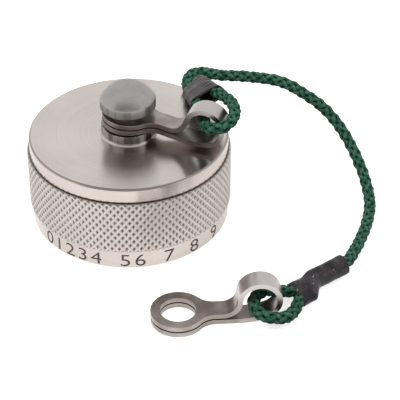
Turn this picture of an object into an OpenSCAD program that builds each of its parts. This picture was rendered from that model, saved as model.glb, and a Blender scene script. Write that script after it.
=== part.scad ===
// Screw-on dust cap for a circular connector, with its lanyard.
// The cap stands mouth down. Origin: centre of the mouth plane, +Z up through the stud.

/* [Cap] */
// Diameter over the rim and the bottom band
cap_d = 32; // [30:0.5:36]
// Height of the turned shell, without the boss
cap_h = 15.3; // [14:0.1:18]
// Thickness of the cap's closed end
top_t = 2.4; // [2:0.1:3]
// Height of the plain rim above the knurl
rim_h = 2.4; // [1.5:0.1:3.5]
// Height of the plain band round the mouth
band_h = 3.3; // [2:0.1:4.5]
// Chamfer on the outer edges of the shell
edge_chamfer = 0.3; // [0.1:0.05:0.6]

/* [Knurl] */
// Pits round the cap
knurl_count = 88; // [44:4:96]
// Height of one pit
knurl_pitch = 1.42; // [1:0.02:3]
// Height of the knurl's ridges above the rim and the band
knurl_rise = 0.4; // [0.3:0.05:0.5]
// Depth of the pits below the ridges
knurl_depth = 0.35; // [0.2:0.05:0.4]
// Width of the groove between the rim and the knurl
groove_w = 0.25; // [0.2:0.05:0.8]
// Depth of that groove
groove_depth = 0.5; // [0.3:0.05:0.8]

/* [Coupling thread] */
// Thickness of the wall at the crests of the coupling thread
shell_wall = 3.9; // [3.6:0.1:4.6]
// Depth of the lead-in at the mouth
mouth_depth = 1.2; // [0.6:0.1:1.6]
// How much wider than the crests the lead-in is, all round
mouth_step = 1.2; // [0.8:0.1:2]
// Height of the relief above the thread, with the gasket in it
relief_h = 3.4; // [2.5:0.1:4]
// How much wider than the crests the relief is, all round
relief_step = 0.8; // [0.3:0.1:1.4]

/* [Gasket] */
// Thickness of the flat sealing ring
gasket_t = 1.2; // [0.8:0.1:1.6]
// Width of the sealing ring, from its hole to its rim
gasket_w = 4.3; // [2.8:0.1:6.5]
// Gap between the sealing ring and the shell's wall
gasket_gap = 0.1; // [0.05:0.05:0.4]

/* [Stud] */
// Diameter of the boss turned on the shell
boss_d = 8.7; // [7.5:0.1:10]
// Height of the boss
boss_h = 1.7; // [1:0.1:2.5]
// Diameter of the stud's neck, where the lug turns
neck_d = 4.6; // [4:0.1:5]
// Free height of the neck, from the boss to the head
neck_h = 3.2; // [3:0.1:4]
// Diameter of the mushroom head
head_d = 8.9; // [8:0.1:10]
// Height of the straight band round the head
head_band_h = 1.75; // [1:0.05:2.5]
// Height of the head's dome above its band
dome_h = 2.35; // [1.5:0.05:3]
// Diameter of the shank that is riveted into the shell
shank_d = 3.4; // [2.5:0.1:3.8]
// Diameter of the peened tail inside the shell
tail_d = 5.4; // [4.5:0.1:6.5]
// Depth of the countersink that the tail fills
tail_h = 0.8; // [0.5:0.05:1.2]

/* [Lug] */
// Thickness of the folded sheet
sheet_t = 0.8; // [0.6:0.05:1]
// Gap between the two leaves of a lug
leaf_gap = 0.25; // [0.05:0.05:0.3]
// Outer diameter of the eyelet
eye_d = 8.4; // [7.6:0.1:9.5]
// Screw hole through both leaves of the eyelet
hole_d = 5.5; // [5.3:0.1:6]
// Width of the strip
strip_w = 3.2; // [2.6:0.1:3.8]
// Radius of the fillets where the strip leaves the eyelet
neck_fillet = 3; // [2:0.5:4]
// Inner diameter of the folded loop
loop_id = 5.2; // [4.8:0.1:6]
// Distance from the eyelet's centre to the loop's centre
lug_reach = 12.3; // [11.8:0.1:13.5]
// Radius of the gentle rise from the lower leaf into the loop
rise_r = 14; // [10:1:20]
// Angle of that rise
rise_angle = 18; // [12:1:22]
// Inner radius of the bend from the loop into the upper leaf
bend_r = 2.2; // [1.6:0.1:2.8]
// Inner radius of the knee in the fitted lug's strip
knee_r = 1; // [0.5:0.1:2]

/* [Fitted lug] */
// Direction of the fitted lug round the stud
lug_turn = -18.5; // [-40:0.5:0]
// Tilt of the fitted lug on the stud
lug_tilt = 3; // [2:0.5:4]
// Angle of the knee beyond the eyelet
lug_knee = 9; // [4:0.5:10]
// Gap between the lug and the edge of the boss
seat_gap = 0.05; // [0.02:0.01:0.15]

/* [Free lug] */
// Place of the free lug's eyelet, to the right
free_lug_x = 8.1;
// Place of the free lug's eyelet, towards the front
free_lug_y = -28.2;
// Direction of the free lug's strip
free_lug_turn = 4; // [0:0.5:8]

/* [Lanyard] */
// Diameter of the braided cord
cord_d = 2; // [1.8:0.05:2]
// Wall of the shrunk sleeves
sleeve_t = 0.35; // [0.2:0.05:0.35]
// Room round the single strand in the free sleeve's end
single_gap = 0.3; // [0.05:0.05:0.4]

/* [Hidden] */
turned_fn = 180;
bend_fn = 96;
bore_fn = 64;
bend_lap = 2; // angle by which the loop runs into its neighbour bends
cord_sides = 8;

cut_over = 1; // length by which a cutter stands out at each end of its cut
knurl_root = 0.5; // depth by which the knurl's solid runs into the shell
end_lap = 0.2; // height by which it runs over the shell's wall at its upper end

cap_r = cap_d / 2;
boss_r = boss_d / 2;
floor_z = cap_h - top_t;
thread_top = floor_z - relief_h;
thread_r = cap_r - shell_wall;
mouth_r = thread_r + mouth_step;
relief_r = thread_r + relief_step;
gasket_r = relief_r - gasket_gap;
knurl_top = cap_h - rim_h - groove_w;
knurl_rows = round(2 * (knurl_top - band_h) / knurl_pitch);
knurl_step = (knurl_top - band_h) / knurl_rows;
groove_r = cap_r - groove_depth;
boss_top = cap_h + boss_h;
head_z = boss_top + neck_h;

stack_t = 2 * sheet_t + leaf_gap;
upper_leaf_z = sheet_t + leaf_gap;
loop_n = (loop_id + sheet_t) / 2;
bend_n = bend_r + sheet_t / 2;
loop_z = sheet_t / 2 + rise_r - (rise_r - loop_n) * cos(rise_angle);
rise_x = lug_reach - (rise_r - loop_n) * sin(rise_angle);
bend_z = upper_leaf_z + sheet_t / 2 + bend_n;
bend_x = lug_reach - sqrt(pow(loop_n + bend_n, 2) - pow(bend_z - loop_z, 2));
loop_end = atan2(bend_z - loop_z, bend_x - lug_reach) + (bend_z < loop_z ? 360 : 0);
knee_y = strip_w / 2 + neck_fillet;
knee_x = sqrt(pow(eye_d / 2 + neck_fillet, 2) - pow(knee_y, 2));
fitted_lug_z = boss_top + seat_gap + boss_r * tan(lug_tilt);

// The cord's route, from the tail in the fitted sleeve to the tail in the free sleeve
fitted_tail = [[11.2, 9.8, 18.4], [12.7, 6.2, 19.6], [14.2, 2.8, 20.8]];
fitted_loop = [
    [15.9, -0.2, 21.4], [16.7, -2.7, 21.8], [16.8, -4.8, 21.9], [16.3, -6.7, 21.8], [15.4, -7.9, 21.6],
    [14.2, -8.1, 21.2], [13.1, -7.3, 20.7], [12.5, -6, 20.1], [12.2, -4.6, 19.8], [11.9, -3, 19.6],
    [11.4, -1.3, 19.5], [10.4, 0.3, 19.4]
];
fitted_main = [[9.9, 1.6, 19.3], [9.8, 5.6, 18.1], [9.8, 9.6, 16.9]];
span = [
    [9.3, 11.6, 16.5], [9.4, 13.1, 16.8], [10.1, 14.3, 17], [11.4, 14.7, 17.2], [13.2, 14.1, 17.3],
    [15.1, 13.4, 17.4], [18, 13, 17.5], [21.9, 13.1, 17], [25.1, 13.2, 16.2], [27.8, 12.9, 14.8],
    [30.7, 12.1, 13.1], [33, 11.3, 11.2], [35.2, 9.9, 8.8], [37, 7.7, 6.4], [38.4, 4.6, 4.2],
    [39.2, 0.9, 2.6], [39.2, -2.6, 1.7], [38.3, -6.6, 1.3], [36.8, -11, 1.3], [35.2, -14.9, 1.6]
];
free_main = [[33.7, -17.3, 1.8], [27.82, -21.64, 1.66], [25.3, -23.5, 1.6]];
free_loop = [
    [23.6, -23.6, 1.8], [22.1, -24.3, 2.5], [20.9, -25.2, 2.9], [19.9, -26.5, 3.1], [19.5, -28, 3.2],
    [19.8, -29.5, 2.9], [20.9, -30.4, 2.6], [22.6, -30.5, 2.2], [24.4, -29.8, 1.8], [25.7, -28, 1.5]
];
free_tail = [[26.8, -25.7, 1.4], [27.8, -24.9, 1.4], [28.7, -24.1, 1.4]];
route = concat(fitted_tail, fitted_loop, fitted_main, span, free_main, free_loop, free_tail);

module turned_shell() {
    rotate_extrude($fn = turned_fn)
    polygon([
        [mouth_r, 0],
        [cap_r - edge_chamfer, 0],
        [cap_r, edge_chamfer],
        [cap_r, knurl_top - end_lap],
        [groove_r, knurl_top - end_lap],
        [groove_r, knurl_top + groove_w],
        [cap_r, knurl_top + groove_w],
        [cap_r, cap_h - edge_chamfer],
        [cap_r - edge_chamfer, cap_h],
        [boss_r, cap_h],
        [boss_r, boss_top],
        [shank_d / 2, boss_top],
        [shank_d / 2, floor_z + tail_h],
        [tail_d / 2, floor_z],
        [relief_r, floor_z],
        [relief_r, thread_top],
        [thread_r, thread_top],
        [thread_r, mouth_depth],
        [mouth_r, mouth_depth]
    ]);
}

// A ring of crossing ridges: every second point of its skin is a crest, and the others are pits
module knurl() {
    points_round = 2 * knurl_count;
    inner_r = groove_r - knurl_root;
    crest_r = cap_r + knurl_rise;
    skin = [
        for (row = [0:knurl_rows], i = [0:points_round - 1])
            let (
                a = 360 * i / points_round,
                r = (i + row) % 2 == 0 ? crest_r : crest_r - knurl_depth
            )
            [r * cos(a), r * sin(a), band_h + row * knurl_step]
    ];
    inside = [
        for (z = [band_h, knurl_top], i = [0:points_round - 1])
            let (a = 360 * i / points_round)
            [inner_r * cos(a), inner_r * sin(a), z]
    ];
    facets = [
        for (row = [0:knurl_rows - 1], i = [0:points_round - 1])
            let (
                next = (i + 1) % points_round,
                a = row * points_round + i,
                b = row * points_round + next,
                c = b + points_round,
                d = a + points_round
            )
            each (i + row) % 2 == 0 ? [[a, d, c], [a, c, b]] : [[a, d, b], [d, c, b]]
    ];
    low = len(skin);
    high = low + points_round;
    last = knurl_rows * points_round;
    ends = [
        for (i = [0:points_round - 1])
            let (next = (i + 1) % points_round)
            each [
                [low + i, low + next, high + next, high + i],
                [i, next, low + next, low + i],
                [high + i, high + next, last + next, last + i]
            ]
    ];
    polyhedron(concat(skin, inside), concat(facets, ends));
}

module cap_shell() {
    color([0.8, 0.77, 0.74])
    union() {
        turned_shell();
        knurl();
    }
}

module stud() {
    dome_r = (pow(head_d / 2, 2) + pow(dome_h, 2)) / (2 * dome_h);
    color([0.6, 0.59, 0.58])
    union() {
        rotate_extrude($fn = turned_fn)
        polygon([
            [0, floor_z],
            [tail_d / 2, floor_z],
            [shank_d / 2, floor_z + tail_h],
            [shank_d / 2, boss_top],
            [neck_d / 2, boss_top],
            [neck_d / 2, head_z + head_band_h],
            [0, head_z + head_band_h]
        ]);
        intersection() {
            translate([0, 0, head_z]) cylinder(d = head_d, h = head_band_h + 2 * dome_h, $fn = turned_fn);
            translate([0, 0, head_z + head_band_h + dome_h - dome_r]) sphere(r = dome_r, $fn = turned_fn);
        }
    }
}

module gasket() {
    color([0.2, 0.2, 0.21])
    translate([0, 0, floor_z - gasket_t])
    difference() {
        cylinder(r = gasket_r, h = gasket_t, $fn = turned_fn);
        translate([0, 0, -cut_over])
        cylinder(r = gasket_r - gasket_w, h = gasket_t + 2 * cut_over, $fn = turned_fn);
    }
}

// Flat outline of one leaf of the eyelet, up to the knee
module eyelet_outline() {
    circle(d = eye_d, $fn = bore_fn);
    difference() {
        polygon([[0, 0], [knee_x, knee_y], [knee_x, -knee_y]]);
        for (side = [-1, 1])
            translate([knee_x, side * knee_y]) circle(r = neck_fillet, $fn = bore_fn);
    }
}

// Part of the strip, bent round an axis across the strip
module strip_bend(x, z, inner_r, from, to) {
    translate([x, 0, z])
    rotate([90, 0, 0])
    rotate([0, 0, from])
    rotate_extrude(angle = to - from, $fn = bend_fn)
    translate([inner_r, -strip_w / 2])
    square([sheet_t, strip_w]);
}

module strip_flat(from, to, z) {
    translate([from, -strip_w / 2, z]) cube([to - from, strip_w, sheet_t]);
}

// The strip beyond the knee: lower leaf, loop, and back into the upper leaf
module looped_strip() {
    strip_flat(knee_x, rise_x, 0);
    strip_bend(rise_x, sheet_t / 2 + rise_r, rise_r - sheet_t / 2, -90, rise_angle - 90);
    strip_bend(lug_reach, loop_z, loop_id / 2, rise_angle - 90 - bend_lap, loop_end + bend_lap);
    strip_bend(bend_x, bend_z, bend_r, -90, loop_end - 180);
    strip_flat(knee_x, bend_x, upper_leaf_z);
}

// One strip folded over: two eyelets stacked, joined by the loop
module lug(knee) {
    color([0.55, 0.53, 0.51]) {
        for (z = [0, upper_leaf_z]) {
            translate([0, 0, z])
            difference() {
                linear_extrude(sheet_t) eyelet_outline();
                translate([0, 0, -cut_over]) cylinder(d = hole_d, h = sheet_t + 2 * cut_over, $fn = bore_fn);
            }
            strip_flat(eye_d / 2, knee_x, z);
            if (knee > 0)
                strip_bend(knee_x, -knee_r, knee_r + z, 90 - knee, 90);
        }
        translate([knee_x, 0, -knee_r])
        rotate([0, knee, 0])
        translate([-knee_x, 0, knee_r])
        looped_strip();
    }
}

module fitted_lug() {
    translate([0, 0, fitted_lug_z]) rotate([0, lug_tilt, lug_turn]) lug(lug_knee);
}

module free_lug() {
    translate([free_lug_x, free_lug_y, 0]) rotate([0, 0, free_lug_turn]) lug(0);
}

function unit(v) = v / norm(v);

// Direction of the route at point i
function heading(pts, i) = unit(pts[min(i + 1, len(pts) - 1)] - pts[max(i - 1, 0)]);

// The side vectors of the sections, each carried on from the one before without twist
function carried(side, along) = unit(side - (side * along) * along);
function sides(pts, i, side) =
    i == len(pts) ? [] :
    let (next = carried(side, heading(pts, i)))
    concat([next], sides(pts, i + 1, next));

// A closed tube along the points
module tube(pts, r, count) {
    side = sides(pts, 0, [0, 0, 1]);
    last = len(pts) - 1;
    rings = [
        for (i = [0:last], k = [0:count - 1])
            let (a = 360 * k / count, other = cross(heading(pts, i), side[i]))
            pts[i] + r * (cos(a) * side[i] + sin(a) * other)
    ];
    walls = [
        for (i = [0:last - 1], k = [0:count - 1])
            let (a = i * count + k, b = i * count + (k + 1) % count)
            each [[a, a + count, b], [b, a + count, b + count]]
    ];
    first_end = [for (k = [0:count - 1]) k];
    last_end = [for (k = [0:count - 1]) last * count + count - 1 - k];
    polyhedron(rings, concat([first_end], walls, [last_end]));
}

module lanyard_cord() {
    color([0.1, 0.36, 0.26]) tube(route, cord_d / 2, cord_sides);
}

// A straight round rod between two points, longer by extra at both ends
module rod(from, to, r, extra) {
    along = to - from;
    translate(from - extra * unit(along))
    rotate([0, acos(along.z / norm(along)), atan2(along.y, along.x)])
    cylinder(r = r, h = norm(along) + 2 * extra, $fn = 32);
}

// Room round two strands of the cord
module both_strands(main, tail, r, extra) {
    hull() {
        rod(main[0], main[1], r, extra);
        rod(tail[0], tail[1], r, extra);
    }
}

module fitted_sleeve() {
    main = [fitted_main[0], fitted_main[2]];
    tail = [fitted_tail[2], fitted_tail[0]];
    color([0.2, 0.19, 0.2])
    difference() {
        both_strands(main, tail, cord_d / 2 + sleeve_t, 0);
        both_strands(main, tail, cord_d / 2, cut_over);
    }
}

// Round both strands as far as the tail goes, then loosely round the one that goes on
module free_sleeve() {
    main = [free_main[2], free_main[1]];
    tail = [free_tail[0], free_tail[2]];
    mouth = free_main[0] + cut_over * unit(free_main[0] - free_main[1]);
    color([0.2, 0.19, 0.2])
    difference() {
        union() {
            both_strands(main, tail, cord_d / 2 + sleeve_t, 0);
            rod(free_main[1], free_main[0], cord_d / 2 + single_gap + sleeve_t, 0);
        }
        both_strands(main, tail, cord_d / 2, cut_over);
        rod(free_main[1], mouth, cord_d / 2 + single_gap, 0);
    }
}

cap_shell();
stud();
gasket();
fitted_lug();
free_lug();
lanyard_cord();
fitted_sleeve();
free_sleeve();
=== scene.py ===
from math import atan2, cos, pi, radians, sin, sqrt, tau

import bmesh
import bpy
from bpy.props import FloatProperty, FloatVectorProperty, IntProperty, PointerProperty
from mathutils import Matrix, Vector, noise
from mathutils.kdtree import KDTree


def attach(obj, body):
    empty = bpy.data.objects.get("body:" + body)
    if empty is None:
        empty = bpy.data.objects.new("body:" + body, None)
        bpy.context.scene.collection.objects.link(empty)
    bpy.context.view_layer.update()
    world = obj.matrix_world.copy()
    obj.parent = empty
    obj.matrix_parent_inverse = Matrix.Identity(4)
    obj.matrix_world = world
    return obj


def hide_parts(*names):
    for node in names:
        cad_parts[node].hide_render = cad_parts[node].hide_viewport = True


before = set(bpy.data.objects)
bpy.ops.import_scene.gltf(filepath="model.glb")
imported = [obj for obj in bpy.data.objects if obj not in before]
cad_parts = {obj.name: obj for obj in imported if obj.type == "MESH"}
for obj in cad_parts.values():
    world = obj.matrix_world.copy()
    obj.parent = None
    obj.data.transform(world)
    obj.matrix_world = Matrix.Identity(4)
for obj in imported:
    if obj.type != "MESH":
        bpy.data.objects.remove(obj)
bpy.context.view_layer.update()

bl_info = {
    "name": "Connector dust cap",
    "version": (1, 0, 0),
    "blender": (4, 5, 0),
    "location": "View3D > Sidebar > Dust cap",
    "description": "Dresses a knurled screw-on dust cap, its lugs and its braided lanyard",
    "category": "Object",
}

MM = 0.001
AXIS = Vector((0, 0, 1))
# Points that lie closer than this are one point
MERGE = 1e-7
# Places of the plain numbers 0 to 9 along the band: five, two and three single ones
DIGIT_SLOTS = (0, 1, 2, 3, 4, 6, 7, 9, 11, 13)

# The cord's route in millimetres, from the tail in the fitted sleeve to the tail in the free sleeve
FITTED_TAIL = [(11.2, 9.8, 18.4), (12.7, 6.2, 19.6), (14.2, 2.8, 20.8)]
FITTED_LOOP = [
    (15.9, -0.2, 21.4), (16.7, -2.7, 21.8), (16.8, -4.8, 21.9), (16.3, -6.7, 21.8), (15.4, -7.9, 21.6),
    (14.2, -8.1, 21.2), (13.1, -7.3, 20.7), (12.5, -6, 20.1), (12.2, -4.6, 19.8), (12, -3, 19.6),
    (11.8, -1.3, 19.5), (11.4, 0.3, 19.4),
]
FITTED_MAIN = [(11, 1.6, 19.3), (10.3, 5.6, 18.1), (9.8, 9.6, 16.9)]
SPAN = [
    (9.3, 11.6, 16.5), (9.4, 13.1, 16.8), (10.1, 14.3, 17), (11.4, 14.7, 17.2), (13.2, 14.1, 17.3),
    (15.1, 13.4, 17.4), (18, 13, 17.5), (21.9, 13.1, 17), (25.1, 13.2, 16.2), (27.8, 12.9, 14.8),
    (30.7, 12.1, 13.1), (33, 11.3, 11.2), (35.2, 9.9, 8.8), (37, 7.7, 6.4), (38.4, 4.6, 4.2),
    (39.2, 0.9, 2.6), (39.2, -2.6, 1.7), (38.3, -6.6, 1.3), (36.8, -11, 1.3), (35.2, -14.9, 1.6),
]
FREE_MAIN = [(33.7, -17.3, 1.8), (27.86, -21.7, 1.8), (25.4, -23.7, 1.8)]
FREE_LOOP = [
    (23.6, -23.6, 1.8), (22.1, -24.3, 2.5), (20.9, -25.2, 2.9), (19.9, -26.5, 3.1), (19.5, -28, 3.2),
    (19.8, -29.5, 2.9), (20.9, -30.4, 2.6), (22.6, -30.5, 2.2), (24.4, -29.8, 1.8), (25.7, -28, 1.5),
]
FREE_TAIL = [(26.6, -25.3, 1.3), (27.7, -24.4, 1.3), (28.8, -23.5, 1.3)]
ROUTE = FITTED_TAIL + FITTED_LOOP + FITTED_MAIN + SPAN + FREE_MAIN + FREE_LOOP + FREE_TAIL
# Spacing of the points that the route is drawn with, in millimetres
ROUTE_STEP = 0.2
# Where the free sleeve's edge on the tail's side would end, past the tail
FREE_SLEEVE_END = (33.9, -19.9, 1.4)

# Where the camera stands and what the lamps point at, in metres
CAMERA = (0.01141, -0.21238, 0.15887)
LAMP_AIM = Vector((0.01, -0.005, 0.01))


def size(name, default, description):
    """A length of the part, given in millimetres."""
    return FloatProperty(
        name=name, description=description, default=default * MM, unit="LENGTH", precision=5
    )


def count(name, default, least, description):
    """How often something repeats."""
    return IntProperty(name=name, description=description, default=default, min=least)


def tint(name, default, description):
    """A linear colour."""
    return FloatVectorProperty(
        name=name, description=description, default=default, subtype="COLOR", size=3, min=0, max=1
    )


def turned(name, default, description):
    """An angle of the part, given in degrees."""
    return FloatProperty(name=name, description=description, default=radians(default), subtype="ANGLE")


class CapSettings(bpy.types.PropertyGroup):
    radius: size("Radius", 16, "Radius of the rim, the knurl and the bottom band")
    height: size("Height", 15.3, "Height of the turned shell without its boss")
    band: size("Band", 3.3, "Height of the plain band round the mouth")
    rim: size("Rim", 2.4, "Height of the plain rim above the knurl")
    groove: size("Groove", 0.25, "Width of the groove between the rim and the knurl")
    groove_depth: size("Groove depth", 0.5, "Depth of that groove")
    chamfer: size("Chamfer", 0.3, "Chamfer on the outer edges")
    knurl_rise: size("Knurl rise", 0.4, "Height of the knurl's ridges above the rim and the band")
    knurl_depth: size("Knurl depth", 0.35, "Depth of the pits between the knurl's ridges")
    knurl_count: count("Knurl count", 88, 12, "Pits round the cap")
    knurl_rows: count("Knurl rows", 7, 2, "Rows of pits, one above the other")
    top: size("Top", 2.4, "Thickness of the closed end")
    thread_crest: size("Thread crest", 12.1, "Radius of the coupling thread's crests")
    thread_root: size("Thread root", 12.7, "Radius of the coupling thread's roots")
    thread_pitch: size("Thread pitch", 2.54, "Distance between neighbouring crests")
    thread_starts: count("Thread starts", 3, 1, "Number of thread starts")
    thread_top: size("Thread top", 9.5, "Height at which the thread runs out")
    mouth: size("Mouth", 13.3, "Radius of the lead-in at the mouth")
    mouth_depth: size("Mouth depth", 1.2, "Depth of the lead-in")
    relief: size("Relief", 12.9, "Radius of the relief above the thread")
    boss_radius: size("Boss radius", 4.35, "Radius of the boss under the stud")
    boss_height: size("Boss height", 1.7, "Height of that boss")
    digit_height: size("Digit height", 2.35, "Height of the plain numbers on the band")
    digit_start: turned("First digit", -51.8, "Direction of the first number, from the front")
    digit_pitch: turned("Digit pitch", 8.45, "Angle between neighbouring numbers")
    metal: tint("Cap metal", (0.6, 0.548, 0.512), "Colour of the turned shell")
    # A dark colour, painted as shade in the pits, the grooves and round the boss, and as dark reflections
    # on the shell
    grime: tint("Pits", (0.2, 0.175, 0.16), "Colour in the bottom of the pits and grooves")
    rubber: tint("Gasket", (0.03, 0.03, 0.032), "Colour of the sealing ring")


class StudSettings(bpy.types.PropertyGroup):
    shank_radius: size("Shank radius", 1.7, "Radius of the shank that goes through the shell")
    tail_radius: size("Tail radius", 2.7, "Radius of the peened tail inside the shell")
    tail_depth: size("Tail depth", 0.8, "Depth of the countersink that the tail fills")
    neck_radius: size("Neck radius", 2.3, "Radius of the neck that the lug turns on")
    neck: size("Neck", 3.2, "Free height of the neck")
    head_radius: size("Head radius", 4.45, "Radius of the mushroom head")
    head_band: size("Head band", 1.6, "Height of the band round the head")
    dome: size("Dome", 2.5, "Height of the dome")
    metal: tint("Stud metal", (0.385, 0.362, 0.347), "Colour of the stud")


class LanyardSettings(bpy.types.PropertyGroup):
    diameter: size("Cord diameter", 2, "Diameter of the braided cord")
    braid_pitch: size("Braid pitch", 7, "Length of one turn of a strand round the cord")
    strands: count("Strands", 8, 4, "Strands in the braid, half of them each way round")
    sleeve_wall: size("Sleeve wall", 0.35, "Wall of the shrunk sleeves")
    green: tint("Cord", (0.004, 0.056, 0.032), "Colour of the cord")
    glint: tint("Cord glint", (0.14, 0.36, 0.26), "Colour of the filaments that catch the light")
    sleeve: tint("Sleeve", (0.014, 0.01, 0.013), "Colour of the shrunk sleeves")
    steel: tint("Lug steel", (0.34, 0.29, 0.268), "Colour of the folded lugs")


class StageSettings(bpy.types.PropertyGroup):
    lens: FloatProperty(name="Lens", description="Focal length on a 36 mm sensor", default=144, min=10)
    tilt: turned("Tilt", 36.528, "Camera's elevation above the horizon")
    key: FloatProperty(name="Key lamp", description="Power of the large lamp", default=1.7, min=0)
    fill: FloatProperty(name="World", description="Strength of the white surroundings", default=0.45, min=0)


class Wire:
    """A shader socket that can be used in sums."""

    def __init__(self, finish, socket):
        self.finish, self.socket = finish, socket

    def sum_of(self, operation, *others):
        return self.finish.node("ShaderNodeMath", {"operation": operation}, dict(enumerate(others)))

    def __add__(self, other):
        return self.sum_of("ADD", self, other)

    def __radd__(self, other):
        return self.sum_of("ADD", other, self)

    def __sub__(self, other):
        return self.sum_of("SUBTRACT", self, other)

    def __rsub__(self, other):
        return self.sum_of("SUBTRACT", other, self)

    def __mul__(self, other):
        return self.sum_of("MULTIPLY", self, other)

    def __rmul__(self, other):
        return self.sum_of("MULTIPLY", other, self)

    def __pow__(self, other):
        return self.sum_of("POWER", self, other)

    def between(self, low, high):
        """0 below low and 1 above high, with a soft step."""
        span = {"Value": self, "From Min": low, "From Max": high}
        return self.finish.node("ShaderNodeMapRange", {"interpolation_type": "SMOOTHSTEP"}, span)

    def inside(self, edge, blur):
        """1 below the edge and 0 beyond its blur."""
        return 1 - self.between(edge, edge + blur)


class Finish:
    """A material with one Principled shader."""

    def __init__(self, name, **constants):
        self.material = bpy.data.materials.new(name)
        self.material.use_nodes = True
        self.tree = self.material.node_tree
        self.shader = self.tree.nodes["Principled BSDF"]
        for label, value in constants.items():
            socket = self.shader.inputs[label.replace("_", " ")]
            socket.default_value = (*value, 1) if isinstance(value, tuple) else value
        place = self.tree.nodes.new("ShaderNodeTexCoord")
        self.place = Wire(self, place.outputs["Object"])
        axes = self.tree.nodes.new("ShaderNodeSeparateXYZ")
        self.tree.links.new(place.outputs["Object"], axes.inputs[0])
        x, y, self.z = (Wire(self, axes.outputs[i]) for i in range(3))
        self.radius = (x * x + y * y) ** 0.5

    def node(self, kind, settings, inputs, output=0):
        """Adds any other node, with its settings and the values or links of its sockets."""
        node = self.tree.nodes.new(kind)
        for key, value in settings.items():
            setattr(node, key, value)
        for key, value in inputs.items():
            if isinstance(value, Wire):
                self.tree.links.new(value.socket, node.inputs[key])
            else:
                node.inputs[key].default_value = value
        return Wire(self, node.outputs[output])

    def noise(self, scale, detail=3, stretch=(1, 1, 1), rough=0.55):
        place = self.node("ShaderNodeMapping", {}, {"Vector": self.place, "Scale": stretch})
        return self.cloud(place, scale, detail, rough)

    def cloud(self, place, scale, detail, rough):
        inputs = {"Vector": place, "Scale": scale, "Detail": detail, "Roughness": rough}
        return self.node("ShaderNodeTexNoise", {}, inputs)

    def tool_marks(self, across, up, detail, rough=0.5):
        """Rings of noise round Z: it changes with the radius and with the height only."""
        place = self.node("ShaderNodeCombineXYZ", {}, {"X": self.radius * across, "Y": self.z * up})
        return self.cloud(place, 1.0, detail, rough)

    def attribute(self, name):
        return self.node("ShaderNodeAttribute", {"attribute_name": name}, {}, output="Fac")

    def mix(self, factor, low, high):
        """A colour between low and high, which are the Mix node's sockets 6 and 7."""
        ends = {6: low, 7: high}
        inputs = {0: factor, **{k: v if isinstance(v, Wire) else (*v, 1) for k, v in ends.items()}}
        return self.node("ShaderNodeMix", {"data_type": "RGBA", "clamp_factor": True}, inputs, output=2)

    def bump(self, height, strength, distance):
        inputs = {"Height": height, "Strength": strength, "Distance": distance}
        return self.node("ShaderNodeBump", {}, inputs)

    def feed(self, **wires):
        """Links what varies to the shader, and gives the finished material."""
        for name, wire in wires.items():
            self.tree.links.new(wire.socket, self.shader.inputs[name.replace("_", " ")])
        return self.material


def paler(colour, share):
    return tuple(c + (1 - c) * share for c in colour)


def darker(colour, share):
    return tuple(c * (1 - share) for c in colour)


def turned_metal():
    """Machined shell: fine concentric tool marks, warm painted shade on the outer sides, dull grooves and
    the boss's foot with painted shade, and painted dark reflections on the top chamfer and the boss.
    """
    cap = bpy.context.scene.dust_cap
    metal, grime = tuple(cap.metal), tuple(cap.grime)
    skin = Finish("cap_turned", Metallic=1.0, Anisotropic=0.75, Anisotropic_Rotation=0.25)
    radius, height = skin.radius, skin.z
    blur = 0.05 * MM
    rings = skin.tool_marks(9000, 5000, 4.0, 0.7)
    bands = skin.tool_marks(1500, 1500, 2.0)
    patches = skin.noise(90, 3)
    in_groove = 1 - radius.between(cap.radius - cap.groove_depth, cap.radius - blur)
    outside = radius.between(cap.relief, cap.relief + 0.3 * MM)
    under_rim = 1 - height.between(cap.height - cap.rim - blur, cap.height - cap.rim + blur)
    on_top = height.between(cap.height - 0.2 * MM, cap.height - 0.1 * MM)
    foot = radius.inside(cap.boss_radius + blur, 0.35 * MM) * (
        on_top - height.between(cap.height + blur, cap.height + 0.35 * MM)
    )
    boss = radius.inside(cap.boss_radius + blur, 0.15 * MM) * height.between(
        cap.height + 0.2 * MM, cap.height + 0.5 * MM
    )
    corner = cap.radius - cap.chamfer
    # The top chamfer's line, which gets a painted dark reflection
    edge = radius.between(corner - 0.04 * MM, corner + 0.04 * MM) * height.between(
        cap.height - cap.chamfer * 0.8, cap.height - cap.chamfer * 0.5
    )
    # Painted shade in the groove, on the mouth's end and round the boss's foot, and a painted dark
    # reflection on the top chamfer; these places are also rougher
    shade_and_reflection = in_groove * outside * under_rim * 0.4 + foot * 0.3 + edge * 0.75
    # The outer sides get painted shade, darker and warmer than the rest
    side = radius.between(cap.radius - 0.12 * MM, cap.radius - 0.04 * MM)
    side_shade = (metal[0] * 0.72, metal[1] * 0.66, metal[2] * 0.62)
    reflection_streaks = skin.noise(800, 3, (1, 1, 0.04))
    tone = skin.mix(patches.between(0.35, 0.7), darker(metal, 0.06), paler(metal, 0.05))
    tone = skin.mix(rings.between(0.35, 0.75) * 0.35, tone, paler(metal, 0.2))
    tone = skin.mix(bands.between(0.55, 0.75) * 0.35, tone, darker(metal, 0.2))
    tone = skin.mix(shade_and_reflection, tone, grime)
    tone = skin.mix(side * 0.35, tone, side_shade)
    # Painted dark reflection on the boss, in upright streaks
    tone = skin.mix(boss * (0.25 + reflection_streaks.between(0.35, 0.6) * 0.7), tone, darker(grime, 0.5))
    rough = 0.15 + rings * 0.08 + patches * 0.08 + shade_and_reflection * 0.3
    return skin.feed(Base_Color=tone, Roughness=rough, Normal=skin.bump(rings, 0.3, 0.02 * MM))


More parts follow.
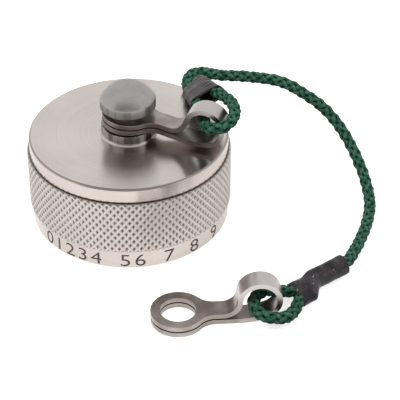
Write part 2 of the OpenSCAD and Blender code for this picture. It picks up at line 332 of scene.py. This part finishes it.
def knurled_metal():
    """The knurl: bright worn ridges and painted shade in the pits."""
    cap = bpy.context.scene.dust_cap
    metal = tuple(cap.metal)
    skin = Finish("cap_knurled", Metallic=1.0)
    crest = cap.radius + cap.knurl_rise
    ridge = skin.radius.between(crest - cap.knurl_depth, crest - cap.knurl_depth * 0.3)
    patches = skin.noise(400, 3)
    # Painted shade towards the bottom of the pits
    tone = skin.mix(ridge, tuple(cap.grime), darker(metal, 0.14))
    tone = skin.mix(patches.between(0.4, 0.8) * 0.3, tone, darker(metal, 0.3))
    grain = skin.bump(skin.noise(3000, 2), 0.2, 0.02 * MM)
    return skin.feed(Base_Color=tone, Roughness=0.55 - ridge * 0.2, Normal=grain)


def satin_metal():
    """The stud: smooth grey metal with faint turning marks, and painted dark reflections in upright streaks
    round its band and neck.
    """
    cap, stud = bpy.context.scene.dust_cap, bpy.context.scene.dust_cap_stud
    metal = tuple(stud.metal)
    skin = Finish("stud_satin", Metallic=1.0, Anisotropic=0.5, Anisotropic_Rotation=0.25)
    rings = skin.tool_marks(6000, 6000, 3.0)
    patches = skin.noise(220, 3)
    reflection_streaks = skin.noise(1100, 3, (1, 1, 0.04))
    brim = cap.height + cap.boss_height + stud.neck + stud.head_band
    band = 1 - skin.z.between(brim - 0.2 * MM, brim + 0.1 * MM)
    tone = skin.mix(patches.between(0.3, 0.75), darker(metal, 0.14), paler(metal, 0.06))
    tone = skin.mix(rings.between(0.4, 0.7) * 0.3, tone, darker(metal, 0.35))
    # Painted dark reflections in upright streaks on the band and everything below it
    tone = skin.mix(band * (0.1 + reflection_streaks.between(0.4, 0.6) * 0.55), tone, darker(metal, 0.55))
    rough = 0.26 + rings * 0.14 + patches * 0.14
    return skin.feed(Base_Color=tone, Roughness=rough, Normal=skin.bump(rings, 0.25, 0.02 * MM))


def sheet_steel():
    """Rolled strip: a brownish grey face with small pits, rubbed edges and painted highlights on the bends.
    """
    metal = tuple(bpy.context.scene.dust_cap_lanyard.steel)
    skin = Finish("lug_rolled", Metallic=1.0)
    grain = skin.noise(900, 4, (1, 1, 1), 0.6)
    patches = skin.noise(260, 3)
    height = skin.z
    # Heights where the lugs bend, which get painted highlights
    free_bend_highlight = height.between(2.4 * MM, 6.2 * MM) * (1 - height.between(8 * MM, 9 * MM))
    fitted_bend_highlight = height.between(20 * MM, 23 * MM)
    tone = skin.mix(patches.between(0.35, 0.7), darker(metal, 0.2), paler(metal, 0.1))
    tone = skin.mix(grain.between(0.55, 0.8) * 0.3, tone, darker(metal, 0.4))
    # Painted highlights on the bends
    tone = skin.mix((free_bend_highlight + fitted_bend_highlight) * 0.75, tone, paler(metal, 0.34))
    tone = skin.mix(skin.attribute("rubbed") * 0.5, tone, paler(metal, 0.45))
    rough = 0.24 + patches * 0.16
    return skin.feed(Base_Color=tone, Roughness=rough, Normal=skin.bump(grain, 0.25, 0.03 * MM))


def braided_yarn():
    """Nylon yarn: fine filaments, painted shade between the strands, and a faint painted highlight and
    painted glints on the crowns.
    """
    lanyard = bpy.context.scene.dust_cap_lanyard
    green = tuple(lanyard.green)
    skin = Finish("cord_braid", Specular_IOR_Level=0.07)
    lift = skin.attribute("lift")
    fibre = skin.noise(4200, 3, (1, 1, 1), 0.7)
    patches = skin.noise(950, 2)
    # Painted shade where the braid lies low, between the strands, and a faint painted highlight on the
    # crowns
    tone = skin.mix(lift.between(0.2, 0.95), darker(green, 0.9), paler(green, 0.025))
    tone = skin.mix(patches.between(0.45, 0.6) * 0.7, tone, darker(green, 0.6))
    # Painted glints of the filaments on the crowns
    tone = skin.mix(fibre.between(0.5, 0.7) * lift.between(0.4, 0.95) * 0.4, tone, tuple(lanyard.glint))
    rough = 0.45 + fibre * 0.3
    return skin.feed(Base_Color=tone, Roughness=rough, Normal=skin.bump(fibre, 0.8, 0.12 * MM))


def shrunk_plastic():
    """Shrink sleeve: charcoal with fine wrinkles, a soft bloom and specks of dust."""
    base = tuple(bpy.context.scene.dust_cap_lanyard.sleeve)
    dust = (0.3, 0.28, 0.29)
    skin = Finish("sleeve_shrunk", Specular_IOR_Level=0.22)
    creases = skin.noise(1700, 3, (1, 1, 1), 0.6)
    bloom = skin.noise(420, 3)
    specks = skin.noise(3200, 2)
    tone = skin.mix(bloom.between(0.35, 0.75), darker(base, 0.35), paler(base, 0.02))
    tone = skin.mix(specks.between(0.66, 0.74) * bloom.between(0.4, 0.65), tone, dust)
    rough = 0.28 + bloom * 0.2
    return skin.feed(Base_Color=tone, Roughness=rough, Normal=skin.bump(creases, 0.35, 0.1 * MM))


def seal_rubber():
    """The gasket's dull grey rubber."""
    rubber = tuple(bpy.context.scene.dust_cap.rubber)
    skin = Finish("seal_rubber")
    grain = skin.noise(1800, 3)
    tone = skin.mix(grain, rubber, paler(rubber, 0.06))
    rough = 0.6 + grain * 0.2
    return skin.feed(Base_Color=tone, Roughness=rough, Normal=skin.bump(grain, 0.3, 0.05 * MM))


def engraved_ink():
    """The numbers' worn black."""
    skin = Finish("digit_ink", Roughness=0.6)
    fresh, worn = (0.02, 0.018, 0.018), (0.07, 0.06, 0.06)
    return skin.feed(Base_Color=skin.mix(skin.noise(2500, 2), fresh, worn))


def linked(name, data):
    """A new object with this data, in the scene."""
    made = bpy.data.objects.new(name, data)
    bpy.context.scene.collection.objects.link(made)
    return made


def object_of(name, bm, material):
    """Turns the bmesh into an object of one material."""
    mesh = bpy.data.meshes.new(name)
    bm.to_mesh(mesh)
    bm.free()
    mesh.materials.append(material)
    return linked(name, mesh)


def mesh_of(name, curve):
    """The mesh of a curve or a text, which is used up."""
    loose = linked(name, curve)
    bpy.context.view_layer.update()
    mesh = bpy.data.meshes.new_from_object(loose.evaluated_get(bpy.context.evaluated_depsgraph_get()))
    bpy.data.objects.remove(loose)
    return mesh


def piece(name, bm, material, body, replaces=(), sharp=radians(32)):
    """Turns the bmesh into a piece of the part, smooth up to the sharp angle."""
    made = object_of(name, bm, material)
    made.data.shade_smooth()
    made.data.set_sharp_from_angle(angle=sharp)
    even = made.modifiers.new("even", "WEIGHTED_NORMAL")
    even.keep_sharp, even.weight = True, 90
    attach(made, body)
    if replaces:
        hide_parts(*replaces)
    return made


def outline(bm, profile):
    """Joins (radius, height) points in metres by edges, in the plane of X and Z."""
    verts = [bm.verts.new((r, 0, z)) for r, z in profile]
    return verts + [bm.edges.new(pair) for pair in zip(verts, verts[1:])]


def trim(bm, low, high):
    """Cuts away what lies below low and above high."""
    for height, way in ((low, -1), (high, 1)):
        bmesh.ops.bisect_plane(
            bm, geom=bm.verts[:] + bm.edges[:] + bm.faces[:], plane_co=(0, 0, height), plane_no=(0, 0, way),
            clear_outer=True,
        )


def lathe(bm, profile, steps=192):
    """Spins a profile round Z that starts and ends at one point or on the axis."""
    bmesh.ops.spin(
        bm, geom=outline(bm, profile), cent=(0, 0, 0), axis=AXIS, angle=tau, steps=steps, use_merge=True
    )
    bmesh.ops.remove_doubles(bm, verts=bm.verts, dist=MERGE)
    bmesh.ops.recalc_face_normals(bm, faces=bm.faces)


def soften(bm, width, segments=2, angle=radians(32)):
    """Rounds every edge that is sharper than the angle, and marks the new faces as rubbed."""
    edges = [e for e in bm.edges if e.is_manifold and e.calc_face_angle(0) > angle]
    rubbed = bm.faces.layers.float.new("rubbed")
    made = bmesh.ops.bevel(
        bm, geom=edges, offset=width, offset_type="OFFSET", segments=segments, profile=0.5,
        affect="EDGES", material=-1, clamp_overlap=True,
    )
    for face in made["faces"]:
        face[rubbed] = 1.0


def copy_of(node, name, material, body, edge):
    """A merged copy of a CAD node with rounded edges, in the node's place."""
    bm = bmesh.new()
    bm.from_mesh(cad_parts[node].data)
    bmesh.ops.remove_doubles(bm, verts=bm.verts, dist=MERGE)
    bmesh.ops.dissolve_limit(bm, angle_limit=radians(0.5), verts=bm.verts, edges=bm.edges)
    soften(bm, edge, 3, radians(40))
    return piece(name, bm, material, body, [node])


def smooth_route():
    """A smooth curve through the route's points, in metres, with its points evenly spaced."""
    pts = [Vector(p) for p in ROUTE]
    pts = [2 * pts[0] - pts[1]] + pts + [2 * pts[-1] - pts[-2]]
    dense = []
    for a, b, c, d in zip(pts, pts[1:], pts[2:], pts[3:]):
        for k in range(16):
            t = k / 16
            square, cube = 2 * a - 5 * b + 4 * c - d, 3 * b - a - 3 * c + d
            dense.append(0.5 * (2 * b + (c - a) * t + square * t * t + cube * t * t * t))
    dense.append(pts[-2])
    even, left = [dense[0] * MM], ROUTE_STEP
    for a, b in zip(dense, dense[1:]):
        gap = (b - a).length
        while gap >= left:
            a = a + (b - a) * (left / gap)
            even.append(a * MM)
            gap = (b - a).length
            left = ROUTE_STEP
        left -= gap
    return even


def carried_frames(line):
    """For each point of a line, two vectors square to it, carried along without twist."""
    side, frames = Vector((0, 0, 1)), []
    for i, point in enumerate(line):
        along = (line[min(i + 1, len(line) - 1)] - line[max(i - 1, 0)]).normalized()
        side = (side - side.dot(along) * along).normalized()
        frames.append((point, side, along.cross(side)))
    return frames


class DUSTCAP_OT_stage(bpy.types.Operator):
    """Makes the camera, the floor, the white surroundings and the lamps"""
    bl_idname = "dust_cap.stage"
    bl_label = "Stage"

    def execute(self, context):
        scene, stage = context.scene, context.scene.dust_cap_stage
        scene.view_settings.view_transform = "Standard"
        lens = bpy.data.cameras.new("camera")
        lens.lens, lens.sensor_width = stage.lens, 36
        scene.camera = linked("camera", lens)
        scene.camera.location = CAMERA
        scene.camera.rotation_euler = (pi / 2 - stage.tilt, 0, 0)
        self.surroundings(scene, stage.fill)
        self.floor()
        self.card()
        self.lamp("key", (-0.16, -0.1, 0.3), 0.22, stage.key, (1.0, 0.985, 0.965))
        self.lamp("side", (0.28, -0.02, 0.2), 0.14, stage.key * 0.45, (0.97, 0.985, 1.0))
        return {"FINISHED"}

    def seen(self, tree):
        """1 for camera, glossy and transmission rays, and 0 for the rays that light the object."""
        rays = tree.nodes.new("ShaderNodeLightPath")
        level = rays.outputs["Is Camera Ray"]
        for kind in ("Is Glossy Ray", "Is Transmission Ray"):
            most = tree.nodes.new("ShaderNodeMath")
            most.operation = "MAXIMUM"
            tree.links.new(level, most.inputs[0])
            tree.links.new(rays.outputs[kind], most.inputs[1])
            level = most.outputs[0]
        return level

    def surroundings(self, scene, strength):
        """White for the camera and for reflections, a soft light for everything else."""
        world = bpy.data.worlds.new("surroundings")
        world.use_nodes = True
        scene.world = world
        tree = world.node_tree
        level = tree.nodes.new("ShaderNodeMapRange")
        level.inputs["To Min"].default_value = strength
        level.inputs["To Max"].default_value = 1.0
        tree.links.new(self.seen(tree), level.inputs["Value"])
        back = tree.nodes["Background"]
        back.inputs["Color"].default_value = (1, 1, 1, 1)
        tree.links.new(level.outputs[0], back.inputs["Strength"])

    def floor(self):
        """Pale, with its shadows, and lifted to white for the camera and for reflections."""
        skin = Finish("floor_white", Roughness=0.9, Specular_IOR_Level=0.0, Base_Color=(0.4, 0.4, 0.4))
        skin.shader.inputs["Emission Color"].default_value = (1, 1, 1, 1)
        lift = skin.tree.nodes.new("ShaderNodeMath")
        lift.operation = "MULTIPLY"
        lift.inputs[1].default_value = 0.72
        skin.tree.links.new(self.seen(skin.tree), lift.inputs[0])
        skin.tree.links.new(lift.outputs[0], skin.shader.inputs["Emission Strength"])
        bm = bmesh.new()
        bmesh.ops.create_grid(bm, x_segments=1, y_segments=1, size=3)
        ground = object_of("floor", bm, skin.material)
        ground.location.z = -0.02 * MM

    def card(self):
        """A wide grey card behind the camera, which gives the bright metal its darker reflections."""
        grey = Finish("card_dark", Base_Color=(0.2, 0.17, 0.15), Roughness=1.0, Specular_IOR_Level=0.0)
        bm = bmesh.new()
        bmesh.ops.create_grid(bm, x_segments=1, y_segments=1, size=1)
        bmesh.ops.scale(bm, vec=(0.32, 0.1, 1), verts=bm.verts)
        card = object_of("dark_card", bm, grey.material)
        card.location = (0, -0.26, 0.22)
        card.rotation_euler = card.location.to_track_quat("Z", "Y").to_euler()
        card.visible_camera = card.visible_diffuse = card.visible_shadow = False

    def lamp(self, name, place, side, power, colour):
        """A square lamp that points at the cap and isn't mirrored in it."""
        light = bpy.data.lights.new(name, "AREA")
        light.energy, light.color, light.shape, light.size = power, colour, "SQUARE", side
        lamp = linked(name, light)
        lamp.location = place
        lamp.visible_glossy = False
        lamp.rotation_euler = (Vector(place) - LAMP_AIM).to_track_quat("Z", "Y").to_euler()


class DUSTCAP_OT_cord(bpy.types.Operator):
    """Makes the braided cord along its route"""
    bl_idname = "dust_cap.cord"
    bl_label = "Braided cord"

    def execute(self, context):
        lanyard = context.scene.dust_cap_lanyard
        frames = carried_frames(smooth_route())
        radius, half = lanyard.diameter / 2, lanyard.strands // 2
        yarn, middle, lift, wander = radius * 0.42, radius * 0.49, radius * 0.12, radius * 0.07
        data = bpy.data.curves.new("braid", "CURVE")
        data.dimensions, data.bevel_depth, data.bevel_resolution = "3D", yarn, 2
        data.use_fill_caps = True
        for way in (1, -1):
            for k in range(half):
                spline = data.splines.new("POLY")
                spline.points.add(len(frames) - 1)
                for i, (point, side, other) in enumerate(frames):
                    gone = tau * i * ROUTE_STEP * MM / lanyard.braid_pitch
                    turn = way * gone + tau * k / half
                    stray = noise.noise(point * 900 + Vector((k * 7, way, 0)))
                    reach = middle + lift * way * cos(half * gone) + wander * stray
                    spline.points[i].co = (*(point + reach * (cos(turn) * side + sin(turn) * other)), 1)
        core = data.splines.new("POLY")
        core.points.add(len(frames) - 1)
        for place, (point, _, _) in zip(core.points, frames):
            place.co = (*point, 1)
            place.radius = middle / yarn
        mesh = mesh_of("braid", data)
        mesh.name = "cord_braided"
        self.mark_lift(mesh, frames, radius)
        mesh.materials.clear()
        mesh.materials.append(braided_yarn())
        mesh.shade_smooth()
        cord = linked("cord_braided", mesh)
        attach(cord, "lanyard")
        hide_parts("lanyard_cord")
        return {"FINISHED"}

    def mark_lift(self, mesh, frames, radius):
        """Stores how far each point of the braid stands out from the cord's middle, from 0 to 1."""
        tree = KDTree(len(frames))
        for i, (point, _, _) in enumerate(frames):
            tree.insert(point, i)
        tree.balance()
        mark = mesh.attributes.new("lift", "FLOAT", "POINT")
        inner = radius * 0.62
        for vert in mesh.vertices:
            _, _, gap = tree.find(vert.co)
            mark.data[vert.index].value = max(0.0, min(1.0, (gap - inner) / (radius - inner)))


class DUSTCAP_OT_shell(bpy.types.Operator):
    """Makes the turned shell with its boss, grooves and bore"""
    bl_idname = "dust_cap.shell"
    bl_label = "Turned shell"

    def execute(self, context):
        cap, stud = context.scene.dust_cap, context.scene.dust_cap_stud
        top, under_knurl, corner = cap.height, cap.radius - 0.02 * MM, cap.radius - cap.chamfer
        groove_low = top - cap.rim - cap.groove
        groove_high, groove_floor = groove_low + cap.groove, cap.radius - cap.groove_depth
        floor, boss_top, easing = top - cap.top, top + cap.boss_height, 0.25 * MM
        seat = [(stud.shank_radius, floor + stud.tail_depth), (stud.tail_radius, floor)]
        bore = [
            (cap.relief, floor), (cap.relief, cap.thread_top), (cap.thread_root, cap.thread_top),
            (cap.thread_root, cap.mouth_depth), (cap.mouth, cap.mouth_depth), (cap.mouth, 0),
        ]
        side = [
            (corner, 0), (cap.radius, cap.chamfer), (cap.radius, cap.band), (under_knurl, cap.band),
            (under_knurl, groove_low), (groove_floor, groove_low), (groove_floor, groove_high),
            (cap.radius, groove_high), (cap.radius, top - cap.chamfer), (corner, top),
        ]
        boss = [
            (cap.boss_radius + easing, top), (cap.boss_radius, top + easing), (cap.boss_radius, boss_top),
            (stud.shank_radius, boss_top),
        ]
        bm = bmesh.new()
        lathe(bm, seat + bore + side + boss + seat[:1])
        soften(bm, 0.035 * MM)
        piece("cap_turned_shell", bm, turned_metal(), "cap", ["cap_shell"])
        return {"FINISHED"}


class DUSTCAP_OT_knurl(bpy.types.Operator):
    """Makes the knurl: crossing ridges with a pit between each four"""
    bl_idname = "dust_cap.knurl"
    bl_label = "Knurl"

    def execute(self, context):
        cap = context.scene.dust_cap
        low, high = cap.band, cap.height - cap.rim - cap.groove
        crest = cap.radius + cap.knurl_rise
        wide = tau * crest / cap.knurl_count
        tall = (high - low) / (cap.knurl_rows - 0.5)
        bm = bmesh.new()
        for row in range(cap.knurl_rows + 1):
            for shift in (0, 0.5):
                middle = low + (row + 0.5 - shift) * tall
                self.diamond(bm, shift * wide, middle, wide, tall, cap.knurl_depth)
        trim(bm, low, high)
        column = bm.verts[:] + bm.edges[:] + bm.faces[:]
        for vert in bm.verts:
            turn, out = vert.co.x / crest, crest - vert.co.y
            vert.co = (sin(turn) * out, -cos(turn) * out, vert.co.z)
        bmesh.ops.spin(
            bm, geom=column, cent=(0, 0, 0), axis=AXIS, angle=tau, steps=cap.knurl_count,
            use_duplicate=True, use_merge=False,
        )
        bmesh.ops.remove_doubles(bm, verts=bm.verts, dist=0.004 * MM)
        ends = bmesh.ops.extrude_edge_only(bm, edges=[e for e in bm.edges if e.is_boundary])["geom"]
        for vert in (g for g in ends if isinstance(g, bmesh.types.BMVert)):
            vert.co.xy *= (cap.radius - 0.05 * MM) / vert.co.xy.length
        bmesh.ops.bridge_loops(bm, edges=[e for e in bm.edges if e.is_boundary])
        bmesh.ops.recalc_face_normals(bm, faces=bm.faces)
        piece("cap_knurl", bm, knurled_metal(), "cap", sharp=radians(70))
        return {"FINISHED"}

    def diamond(self, bm, x, z, wide, tall, depth):
        """One pit: a diamond with a broad sloping edge and a sunk middle. Y is the depth."""
        made = bmesh.ops.create_circle(bm, segments=4, radius=1, cap_ends=True)
        verts = made["verts"]
        for vert in verts:
            vert.co = (x + vert.co.x * wide / 2, 0, z + vert.co.y * tall / 2)
        face = verts[0].link_faces[0]
        face.normal_update()
        if face.normal.y > 0:
            face.normal_flip()
        for width, share in ((0.22 * MM, 0.12), (0.15 * MM, 0.68)):
            bmesh.ops.inset_individual(bm, faces=[face], thickness=width, depth=-depth * share)
        for vert in bmesh.ops.poke(bm, faces=[face])["verts"]:
            vert.co.y = depth


class DUSTCAP_OT_thread(bpy.types.Operator):
    """Makes the triple-start coupling thread in the bore"""
    bl_idname = "dust_cap.thread"
    bl_label = "Coupling thread"

    def execute(self, context):
        cap = context.scene.dust_cap
        low, high, pitch = cap.mouth_depth, cap.thread_top, cap.thread_pitch
        lead, steps = pitch * cap.thread_starts, 120
        crest, root = cap.thread_crest, cap.thread_root + 0.05 * MM
        form = [(root, 0.05), (crest, 0.4), (crest, 0.6), (root, 0.95)]
        turns = (high - low + 2 * lead) / lead
        bm = bmesh.new()
        for start in range(cap.thread_starts):
            base = low - pitch + start * pitch - lead
            ridge = outline(bm, [(r, base + share * pitch) for r, share in form])
            bmesh.ops.spin(
                bm, geom=ridge, cent=(0, 0, 0), axis=AXIS, angle=tau * turns, steps=int(steps * turns),
                dvec=(0, 0, lead / steps),
            )
        trim(bm, low + 0.02 * MM, high - 0.02 * MM)
        bmesh.ops.recalc_face_normals(bm, faces=bm.faces)
        piece("cap_thread", bm, bpy.data.materials["cap_turned"], "cap")
        return {"FINISHED"}


class DUSTCAP_OT_digits(bpy.types.Operator):
    """Puts plain numbers round the band"""
    bl_idname = "dust_cap.digits"
    bl_label = "Plain numbers"

    def execute(self, context):
        cap = context.scene.dust_cap
        type_size, thinner = cap.digit_height * 1.4, -0.004 * cap.digit_height
        stretch, level, out = 1.2, cap.band * 0.43, cap.radius + 0.012 * MM
        whole = bmesh.new()
        for k, slot in enumerate(DIGIT_SLOTS):
            words = bpy.data.curves.new("digit", "FONT")
            words.body = str(k)
            words.size, words.align_x, words.align_y = type_size, "CENTER", "CENTER"
            words.offset, words.resolution_u = thinner, 4
            mesh = mesh_of("digit", words)
            one = bmesh.new()
            one.from_mesh(mesh)
            bmesh.ops.subdivide_edges(one, edges=one.edges[:], cuts=1)
            turn = cap.digit_start + slot * cap.digit_pitch
            for vert in one.verts:
                bend = turn + stretch * vert.co.x / cap.radius
                vert.co = (sin(bend) * out, -cos(bend) * out, level + vert.co.y)
            one.to_mesh(mesh)
            one.free()
            whole.from_mesh(mesh)
            bpy.data.meshes.remove(mesh)
        piece("cap_digits", whole, engraved_ink(), "cap")
        return {"FINISHED"}


class DUSTCAP_OT_stud(bpy.types.Operator):
    """Makes the riveted stud with its mushroom head"""
    bl_idname = "dust_cap.stud"
    bl_label = "Stud"

    def execute(self, context):
        cap, stud = context.scene.dust_cap, context.scene.dust_cap_stud
        foot = cap.height + cap.boss_height
        head = foot + stud.neck
        brim = head + stud.head_band
        ball = (stud.head_radius ** 2 + stud.dome ** 2) / (2 * stud.dome)
        span = atan2(stud.head_radius, ball - stud.dome)
        middle = brim + stud.dome - ball
        leans = [span * (1 - k / 24) for k in range(24)]
        dome = [(ball * sin(lean), middle + ball * cos(lean)) for lean in leans] + [(0, brim + stud.dome)]
        floor = cap.height - cap.top
        shank = [
            (0, floor), (stud.tail_radius, floor), (stud.shank_radius, floor + stud.tail_depth),
            (stud.shank_radius, foot), (stud.neck_radius, foot), (stud.neck_radius, head),
            (stud.head_radius, head),
        ]
        bm = bmesh.new()
        lathe(bm, shank + dome)
        soften(bm, 0.18 * MM, 3)
        piece("stud_turned", bm, satin_metal(), "cap", ["stud"])
        return {"FINISHED"}


class DUSTCAP_OT_gasket(bpy.types.Operator):
    """Gives the sealing ring its rounded edges and its rubber"""
    bl_idname = "dust_cap.gasket"
    bl_label = "Gasket"

    def execute(self, context):
        copy_of("gasket", "gasket_ring", seal_rubber(), "cap", 0.12 * MM)
        return {"FINISHED"}


class DUSTCAP_OT_lugs(bpy.types.Operator):
    """Gives the two folded lugs their rounded edges and their steel"""
    bl_idname = "dust_cap.lugs"
    bl_label = "Folded lugs"

    def execute(self, context):
        steel = sheet_steel()
        copy_of("fitted_lug", "lug_fitted", steel, "lanyard", 0.16 * MM)
        copy_of("free_lug", "lug_free", steel, "screw_lug", 0.16 * MM)
        return {"FINISHED"}


class DUSTCAP_OT_sleeves(bpy.types.Operator):
    """Makes the shrunk sleeves round the cord's two strands"""
    bl_idname = "dust_cap.sleeves"
    bl_label = "Shrunk sleeves"

    def execute(self, context):
        plastic = shrunk_plastic()
        self.sleeve(
            "sleeve_fitted", "fitted_sleeve", main=(FITTED_MAIN[0], FITTED_MAIN[-1]),
            tail=(FITTED_TAIL[-1], FITTED_TAIL[0]), plastic=plastic, wrinkles=26, flare=0.1 * MM,
        )
        self.sleeve(
            "sleeve_free", "free_sleeve", main=(FREE_MAIN[-1], FREE_MAIN[0]),
            tail=(FREE_TAIL[0], FREE_SLEEVE_END), plastic=plastic, wrinkles=9, alone=0.25,
        )
        return {"FINISHED"}

    def sleeve(self, name, node, main, tail, plastic, wrinkles, alone=None, flare=0.0):
        """Shrunk round two strands, and from the share called alone loosely round the one that goes on."""
        lanyard = bpy.context.scene.dust_cap_lanyard
        main, tail = ([Vector(p) * MM for p in pair] for pair in (main, tail))
        thick = lanyard.sleeve_wall * 0.8
        snug, slack = lanyard.diameter / 2 + thick, 0.36 * MM
        along = (main[1] - main[0]).normalized()
        rings, around = 80, 72
        bm = bmesh.new()
        for r in range(rings):
            share = r / (rings - 1)
            strand, other = main[0].lerp(main[1], share), tail[0].lerp(tail[1], share)
            single = 0.0 if alone is None else max(0.0, min(1.0, (share - alone) / 0.2))
            single = single * single * (3 - 2 * single)
            apart = strand - other
            wide = (apart - apart.dot(along) * along).normalized()
            thin = along.cross(wide)
            half = apart * 0.5 * (1 - single)
            reach = snug + slack * single + flare * share * share
            near_mouth = share if alone is None else 1 - share
            for k, vert in enumerate(bmesh.ops.create_circle(bm, segments=around, radius=1)["verts"]):
                across, up = cos(tau * k / around), sin(tau * k / around)
                pinch = 1 - 0.4 * near_mouth * near_mouth * (1 - abs(across))
                lean = across / sqrt(across ** 2 + 0.12)
                broad = Vector((across * 1.6, up * 1.6, share * 4))
                fine = Vector((across * 0.8, up * 0.8, share * wrinkles + across))
                fold = noise.noise(broad + main[0] * 900)
                crease = noise.noise(fine + main[1] * 900)
                out = reach * pinch + 0.14 * MM * fold + 0.08 * MM * crease
                vert.co = strand - half + lean * half + out * (across * wide + up * thin)
        bmesh.ops.bridge_loops(bm, edges=bm.edges[:])
        bmesh.ops.recalc_face_normals(bm, faces=bm.faces)
        made = piece(name, bm, plastic, "lanyard", [node], sharp=radians(60))
        wall = made.modifiers.new("wall", "SOLIDIFY")
        wall.thickness, wall.offset = thick, -1
        edge = made.modifiers.new("edge", "BEVEL")
        edge.width, edge.segments = 0.08 * MM, 2
        edge.limit_method, edge.angle_limit = "ANGLE", radians(50)


class DUSTCAP_OT_lanyard(bpy.types.Operator):
    bl_idname = "dust_cap.lanyard"
    bl_label = "Lanyard"

    def execute(self, context):
        line = smooth_route()
        length = sum((b - a).length for a, b in zip(line, line[1:]))
        [tuple(p) for p in line[::3]] + [tuple(line[-1])]
        return {"FINISHED"}


class DUSTCAP_PT_panel(bpy.types.Panel):
    bl_label = "Dust cap"
    bl_idname = "DUSTCAP_PT_panel"
    bl_space_type = "VIEW_3D"
    bl_region_type = "UI"
    bl_category = "Dust cap"

    def draw(self, context):
        for operator in OPERATORS:
            self.layout.operator(operator.bl_idname)


GROUPS = {
    "dust_cap": CapSettings, "dust_cap_stud": StudSettings, "dust_cap_lanyard": LanyardSettings,
    "dust_cap_stage": StageSettings,
}
OPERATORS = (
    DUSTCAP_OT_stage, DUSTCAP_OT_cord, DUSTCAP_OT_shell, DUSTCAP_OT_knurl, DUSTCAP_OT_thread,
    DUSTCAP_OT_digits, DUSTCAP_OT_stud, DUSTCAP_OT_gasket, DUSTCAP_OT_lugs, DUSTCAP_OT_sleeves,
    DUSTCAP_OT_lanyard,
)
CLASSES = (*GROUPS.values(), *OPERATORS, DUSTCAP_PT_panel)


def register():
    for kind in CLASSES:
        bpy.utils.register_class(kind)
    for name, group in GROUPS.items():
        setattr(bpy.types.Scene, name, PointerProperty(type=group))


def unregister():
    for name in GROUPS:
        delattr(bpy.types.Scene, name)
    for kind in reversed(CLASSES):
        bpy.utils.unregister_class(kind)


def main():
    register()
    for operator in OPERATORS:
        group, _, action = operator.bl_idname.partition(".")
        getattr(getattr(bpy.ops, group), action)()
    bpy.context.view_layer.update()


if __name__ == "__main__":
    main()
